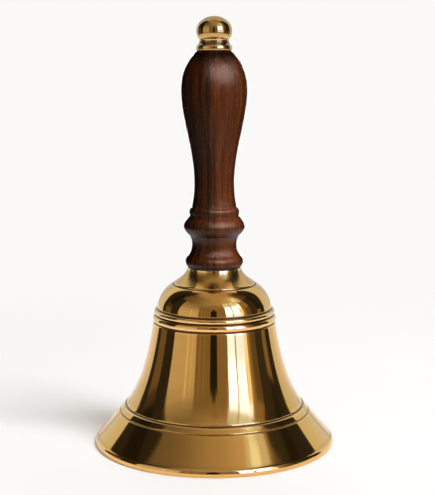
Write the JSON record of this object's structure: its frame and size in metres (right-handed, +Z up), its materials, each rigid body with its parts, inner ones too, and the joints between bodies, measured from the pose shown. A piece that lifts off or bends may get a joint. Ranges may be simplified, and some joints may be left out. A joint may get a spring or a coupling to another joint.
{
  "type": "hand bell",
  "caption": "Flared brass hand bell with a turned wooden handle, a brass knob and a ball clapper that swings on a link inside.",
  "frame": {"origin": "centre of the rim's lower face, on which the bell stands", "axes": "+Z up along the bell's axis towards the knob; the clapper's main swing is about Y"},
  "size_m": [0.128, 0.128, 0.226],
  "materials": {
    "bell_brass": "mirror polished, fine turning lines",
    "finial_brass": "polished",
    "clapper_brass": "turned, unpolished",
    "handle_wood": "dark rosewood, satin varnish",
    "washer_leather": "dark, matt",
    "fitting_steel": "zinc plated"
  },
  "bodies": {
    "bell": {"bell_shell": "bell_brass", "neck_washer": "washer_leather", "handle_grip": "handle_wood", "finial_collar": "finial_brass", "finial_knob": "finial_brass", "tie_rod": "fitting_steel", "crown_washer": "fitting_steel", "spring_washer": "fitting_steel", "crown_nut": "fitting_steel", "clapper_eye": "fitting_steel"},
    "link": {"clapper_link": "fitting_steel"},
    "clapper": {"clapper_shank": "fitting_steel", "clapper_ball": "clapper_brass", "clapper_nuts": "fitting_steel"}
  },
  "joints": [
    {"name": "clapper_swing", "type": "hinge", "parent": "bell", "child": "link", "pos_m": [0, 0, 0.0653], "axis": [0, 1, 0], "range_deg": [-35, 35]},
    {"name": "clapper_sway", "type": "hinge", "parent": "link", "child": "clapper", "pos_m": [0, 0, 0.0583], "axis": [1, 0, 0], "range_deg": [-6, 6]}
  ]
}
